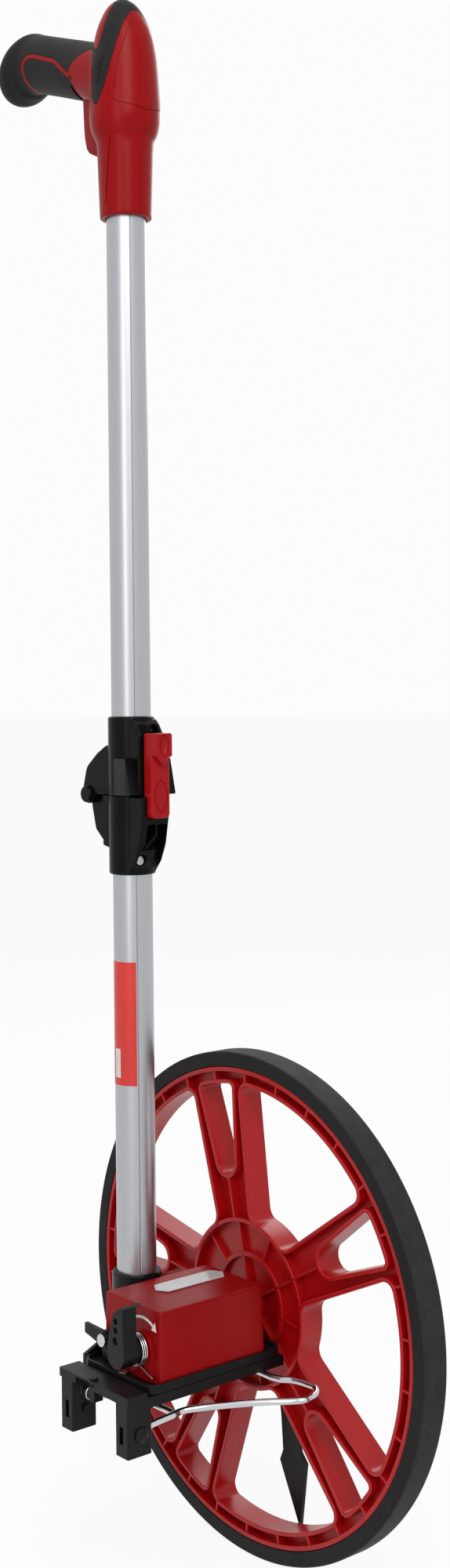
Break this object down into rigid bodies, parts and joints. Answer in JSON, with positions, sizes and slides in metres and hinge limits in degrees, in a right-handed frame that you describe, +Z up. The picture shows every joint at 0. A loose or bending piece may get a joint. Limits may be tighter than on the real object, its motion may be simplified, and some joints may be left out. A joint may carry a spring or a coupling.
{
  "type": "measuring wheel",
  "caption": "Folding distance-measuring wheel: a rubber-tyred spoked wheel drives a geared drum counter below a hinged pole with a pistol-grip handle and a swing-down stand.",
  "frame": {"origin": "centre of the axle's flat outer end, beyond the wheel", "axes": "+Y along the axle outwards from the counter to the wheel's free side, +Z up along the pole, +X the way the wheel rolls"},
  "size_m": [0.328, 0.1551, 1.0022],
  "materials": {
    "red_plastic": "gloss moulded, satin on ribs",
    "black_plastic": "satin moulded",
    "soft_black": "soft-touch matt",
    "tyre_rubber": "matt, mottled tread",
    "aluminium": "satin anodised, fluted",
    "chrome": "bright plated",
    "steel": "zinc plated",
    "brass": "machined",
    "drum_plastic": "satin moulded",
    "clear_lens": "clear, polished"
  },
  "bodies": {
    "carriage": {"base_frame": "black_plastic", "tray": "black_plastic", "tray_screw": "steel", "counter_housing": "red_plastic", "window_lens": "clear_lens", "axle_bush": "brass", "axle_bush_front": "brass", "counter_chassis": "steel", "counter_shaft": "steel", "lower_tube": "aluminium", "pole_screw": "steel", "hinge_lower": "black_plastic", "hinge_screw": "steel", "hinge_pin": "black_plastic", "catch_pin": "chrome", "torsion_spring": "chrome", "spring_anchor": "black_plastic", "extension_spring": "chrome"},
    "upper_pole": {"hinge_upper": "black_plastic", "upper_tube": "aluminium", "handle_core": "red_plastic", "handle_cover": "red_plastic", "handle_sleeve": "soft_black", "grip_pad": "soft_black", "latch_spring": "steel"},
    "latch": {"latch": "red_plastic"},
    "wheel": {"wheel": "red_plastic", "tyre": "tyre_rubber", "axle": "steel", "wheel_washer": "steel", "wheel_nut": "steel", "axle_spacer": "steel", "pointer_nut": "steel", "drive_gear": "brass"},
    "drum_1": {"drum_1": "drum_plastic", "counter_gear": "drum_plastic"},
    "drum_2": {"drum_2": "drum_plastic"},
    "drum_3": {"drum_3": "drum_plastic"},
    "drum_4": {"drum_4": "drum_plastic"},
    "drum_5": {"drum_5": "drum_plastic"},
    "reset": {"reset_lever": "black_plastic", "reset_shaft": "steel"},
    "catch": {"catch_lever": "black_plastic"},
    "stand": {"stand_wire": "chrome", "stand_cross_rod": "chrome", "stand_cap_far": "black_plastic", "stand_cap_near": "black_plastic"},
    "pointer": {"pointer": "black_plastic"}
  },
  "joints": [
    {"name": "wheel_spin", "type": "hinge", "parent": "carriage", "child": "wheel", "pos_m": [0, -0.026, 0], "axis": [0, 1, 0], "continuous": true},
    {"name": "pointer_turn", "type": "hinge", "parent": "carriage", "child": "pointer", "pos_m": [0, -0.0087, 0], "axis": [0, 1, 0], "continuous": true},
    {"name": "drum_1_turn", "type": "hinge", "parent": "carriage", "child": "drum_1", "pos_m": [-0.0015, -0.0974, 0.0122], "axis": [0, 1, 0], "continuous": true},
    {"name": "drum_2_turn", "type": "hinge", "parent": "carriage", "child": "drum_2", "pos_m": [-0.0015, -0.088, 0.0122], "axis": [0, 1, 0], "continuous": true},
    {"name": "drum_3_turn", "type": "hinge", "parent": "carriage", "child": "drum_3", "pos_m": [-0.0015, -0.0786, 0.0122], "axis": [0, 1, 0], "continuous": true},
    {"name": "drum_4_turn", "type": "hinge", "parent": "carriage", "child": "drum_4", "pos_m": [-0.0015, -0.0692, 0.0122], "axis": [0, 1, 0], "continuous": true},
    {"name": "drum_5_turn", "type": "hinge", "parent": "carriage", "child": "drum_5", "pos_m": [-0.0015, -0.0598, 0.0122], "axis": [0, 1, 0], "continuous": true},
    {"name": "pole_fold", "type": "hinge", "parent": "carriage", "child": "upper_pole", "pos_m": [-0.0716, -0.092, 0.3254], "axis": [0, -1, 0], "range_deg": [0, 180]},
    {"name": "latch_slide", "type": "slide", "parent": "upper_pole", "child": "latch", "axis": [0, 0, 1], "range_m": [0, 0.008], "stiffness_N_per_m": 200, "springref_m": -0.01, "deforming": ["latch_spring"]},
    {"name": "reset_turn", "type": "hinge", "parent": "carriage", "child": "reset", "pos_m": [0.0155, -0.1, -0.002], "axis": [0, 1, 0], "range_deg": [0, 60], "stiffness_Nm_per_rad": 0.05, "springref_deg": -28.65},
    {"name": "catch_rock", "type": "hinge", "parent": "carriage", "child": "catch", "pos_m": [-0.0177, -0.133, -0.0052], "axis": [0, -1, 0], "range_deg": [0, 20], "stiffness_Nm_per_rad": 0.02, "springref_deg": -14.9},
    {"name": "stand_swing", "type": "hinge", "parent": "carriage", "child": "stand", "pos_m": [0.0013, -0.1448, -0.0441], "axis": [-1, 0, 0], "range_deg": [0, 95], "deforming": ["extension_spring"]}
  ],
  "couplings": [
    {"joint": "drum_1_turn", "follows": "wheel_spin", "ratio": -1},
    {"joint": "drum_2_turn", "follows": "wheel_spin", "ratio": -0.1},
    {"joint": "drum_3_turn", "follows": "wheel_spin", "ratio": -0.01},
    {"joint": "drum_4_turn", "follows": "wheel_spin", "ratio": -0.001},
    {"joint": "drum_5_turn", "follows": "wheel_spin", "ratio": -0.0001}
  ]
}
